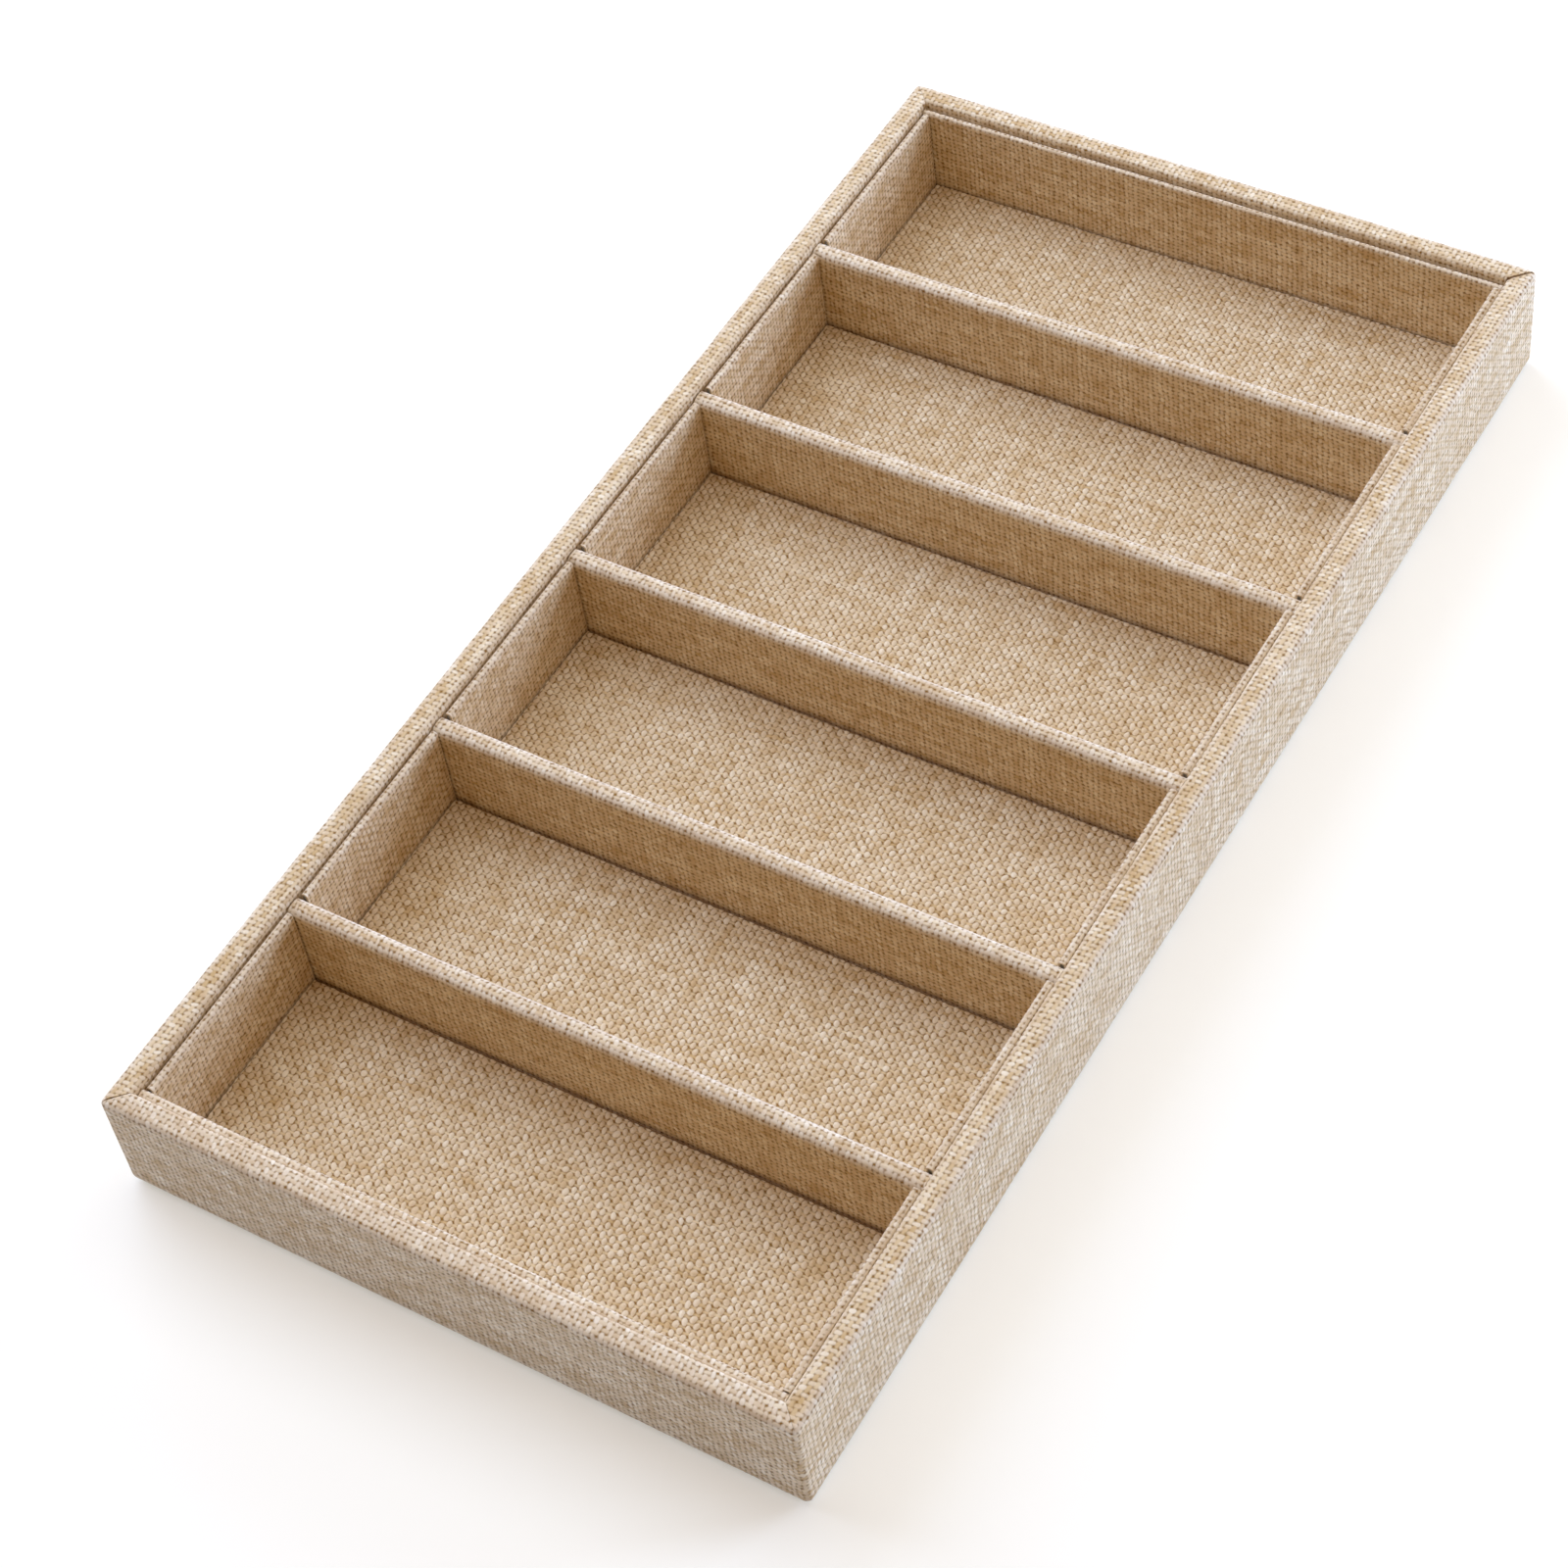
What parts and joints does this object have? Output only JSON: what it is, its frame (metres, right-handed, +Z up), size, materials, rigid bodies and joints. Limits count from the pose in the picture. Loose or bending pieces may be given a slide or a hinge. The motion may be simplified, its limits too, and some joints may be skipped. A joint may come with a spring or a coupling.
{
  "type": "sunglass organizer tray",
  "caption": "Shallow open tray of linen-wrapped boards, with a row of equal compartments between upright dividers for storing or displaying folded sunglasses.",
  "frame": {"origin": "middle of the underside, on the surface that the tray stands on", "axes": "+Y along the tray's length, across the dividers; +X across its width; +Z up"},
  "size_m": [0.17, 0.35, 0.03],
  "materials": {
    "linen_cloth": "beige plain-weave linen-look cloth",
    "fibreboard": "raw medium-density fibreboard",
    "grey_card": "grey bookbinder's card",
    "backing_paper": "matt backing paper"
  },
  "bodies": {
    "root": {"base_board": "fibreboard", "bottom_cover": "backing_paper", "front_wall_board": "fibreboard", "rear_wall_board": "fibreboard", "left_wall_board": "fibreboard", "right_wall_board": "fibreboard", "frame_cloth": "linen_cloth", "divider_1_board": "fibreboard", "divider_1_cloth": "linen_cloth", "divider_2_board": "fibreboard", "divider_2_cloth": "linen_cloth", "divider_3_board": "fibreboard", "divider_3_cloth": "linen_cloth", "divider_4_board": "fibreboard", "divider_4_cloth": "linen_cloth", "divider_5_board": "fibreboard", "divider_5_cloth": "linen_cloth", "front_liner_card": "grey_card", "front_liner_cloth": "linen_cloth", "rear_liner_card": "grey_card", "rear_liner_cloth": "linen_cloth", "left_liner_1_card": "grey_card", "left_liner_1_cloth": "linen_cloth", "left_liner_2_card": "grey_card", "left_liner_2_cloth": "linen_cloth", "left_liner_3_card": "grey_card", "left_liner_3_cloth": "linen_cloth", "left_liner_4_card": "grey_card", "left_liner_4_cloth": "linen_cloth", "left_liner_5_card": "grey_card", "left_liner_5_cloth": "linen_cloth", "left_liner_6_card": "grey_card", "left_liner_6_cloth": "linen_cloth", "right_liner_1_card": "grey_card", "right_liner_1_cloth": "linen_cloth", "right_liner_2_card": "grey_card", "right_liner_2_cloth": "linen_cloth", "right_liner_3_card": "grey_card", "right_liner_3_cloth": "linen_cloth", "right_liner_4_card": "grey_card", "right_liner_4_cloth": "linen_cloth", "right_liner_5_card": "grey_card", "right_liner_5_cloth": "linen_cloth", "right_liner_6_card": "grey_card", "right_liner_6_cloth": "linen_cloth", "floor_1_card": "grey_card", "floor_1_cloth": "linen_cloth", "floor_2_card": "grey_card", "floor_2_cloth": "linen_cloth", "floor_3_card": "grey_card", "floor_3_cloth": "linen_cloth", "floor_4_card": "grey_card", "floor_4_cloth": "linen_cloth", "floor_5_card": "grey_card", "floor_5_cloth": "linen_cloth", "floor_6_card": "grey_card", "floor_6_cloth": "linen_cloth"}
  },
  "joints": []
}
